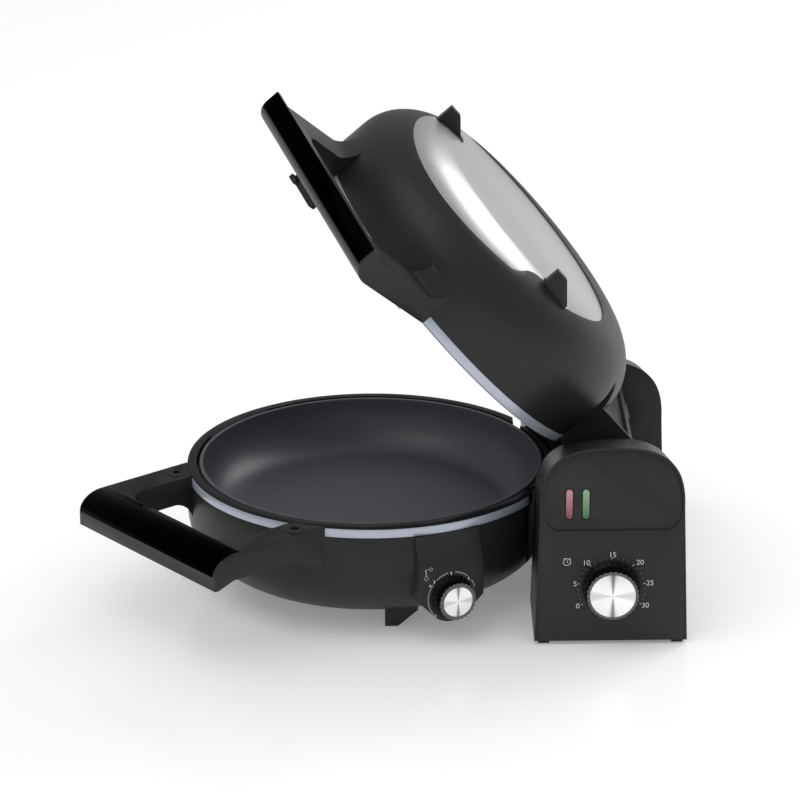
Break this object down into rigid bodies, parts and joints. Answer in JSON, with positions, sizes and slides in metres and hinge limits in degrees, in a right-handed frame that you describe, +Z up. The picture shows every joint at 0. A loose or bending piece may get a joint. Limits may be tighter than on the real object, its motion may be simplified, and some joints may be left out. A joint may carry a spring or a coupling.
{
  "type": "tortilla maker",
  "caption": "Countertop cooker of two shallow non-stick pans hinged on one axle between two towers, with handles, latch, timer dial and thermostat dial.",
  "frame": {"origin": "the middle of the object's bounding box in plan, on the worktop, with the lid standing open", "axes": "+X from the pans to the hinge towers, +Y from the dials to the rear tower, +Z up"},
  "size_m": [0.4202, 0.3274, 0.3777],
  "materials": {
    "black_plastic": "satin black moulded plastic",
    "black_gloss": "high gloss black",
    "knob_plastic": "black",
    "turned_metal": "turned bright metal",
    "grey_band": "satin grey paint",
    "nonstick": "dark non-stick coating",
    "steel": "bright steel",
    "bronze": "sintered bronze",
    "bearing_plastic": "natural nylon",
    "rubber": "black rubber",
    "red_lens": "clear red lens",
    "green_lens": "clear green lens"
  },
  "bodies": {
    "base": {"base_bridge": "black_plastic", "front_tower_shell": "black_plastic", "rear_tower_shell": "black_plastic", "front_tower_cover": "black_plastic", "rear_tower_cover": "black_plastic", "control_panel": "black_plastic", "rear_panel": "black_plastic", "tower_feet": "rubber", "cover_screws": "steel", "bridge_screws": "steel", "red_lens": "red_lens", "green_lens": "green_lens", "lamp_holder": "black_plastic", "timer_body": "knob_plastic", "front_bearing": "bearing_plastic", "rear_bearing": "bearing_plastic", "axle": "steel", "axle_clips": "steel", "terminal_block": "bearing_plastic", "cable_gland": "black_plastic"},
    "timer_knob_body": {"timer_shaft": "steel", "timer_knob": "knob_plastic", "timer_knob_cap": "turned_metal"},
    "lower_pan": {"lower_housing": "black_plastic", "lower_rim_band": "grey_band", "lower_collar": "black_plastic", "lower_dish": "nonstick", "lower_element": "steel", "lower_reflector": "turned_metal", "lower_thermal_fuse": "steel", "lower_screws": "steel", "lower_feet": "black_plastic", "lower_bushes": "bronze", "lower_handle_strip": "black_gloss", "socket_plates": "black_plastic", "thermostat_body": "knob_plastic"},
    "thermostat_knob_body": {"thermostat_shaft": "steel", "thermostat_knob": "knob_plastic", "thermostat_knob_cap": "turned_metal"},
    "lid": {"lid_housing": "black_plastic", "lid_rim_band": "grey_band", "lid_collar": "black_plastic", "lid_dish": "nonstick", "lid_element": "steel", "lid_reflector": "turned_metal", "lid_thermal_fuse": "steel", "lid_screws": "steel", "lid_feet": "black_plastic", "lid_bushes": "bronze", "lid_handle_strip": "black_gloss", "lid_disc": "turned_metal", "locating_pins": "steel"},
    "latch_body": {"latch": "black_plastic"}
  },
  "joints": [
    {"name": "flip", "type": "hinge", "parent": "base", "child": "lower_pan", "pos_m": [0.15587, 0.02133, 0.0873], "axis": [0, 1, 0], "range_deg": [0, 131.2]},
    {"name": "lid_hinge", "type": "hinge", "parent": "lower_pan", "child": "lid", "pos_m": [0.15587, 0.02133, 0.0873], "axis": [0, -1, 0], "range_deg": [-131.2, 48.8]},
    {"name": "timer_turn", "type": "hinge", "parent": "base", "child": "timer_knob_body", "pos_m": [0.15737, -0.11207, 0.0424], "axis": [0, -1, 0], "range_deg": [-120, 120]},
    {"name": "thermostat_turn", "type": "hinge", "parent": "lower_pan", "child": "thermostat_knob_body", "pos_m": [0.04786, -0.10653, 0.035], "axis": [0.3859, -0.9225, 0], "range_deg": [-120, 120]},
    {"name": "latch_slide", "type": "slide", "parent": "lid", "child": "latch_body", "axis": [0.41, -0.7826, -0.4684], "range_m": [0, 0.005]}
  ]
}
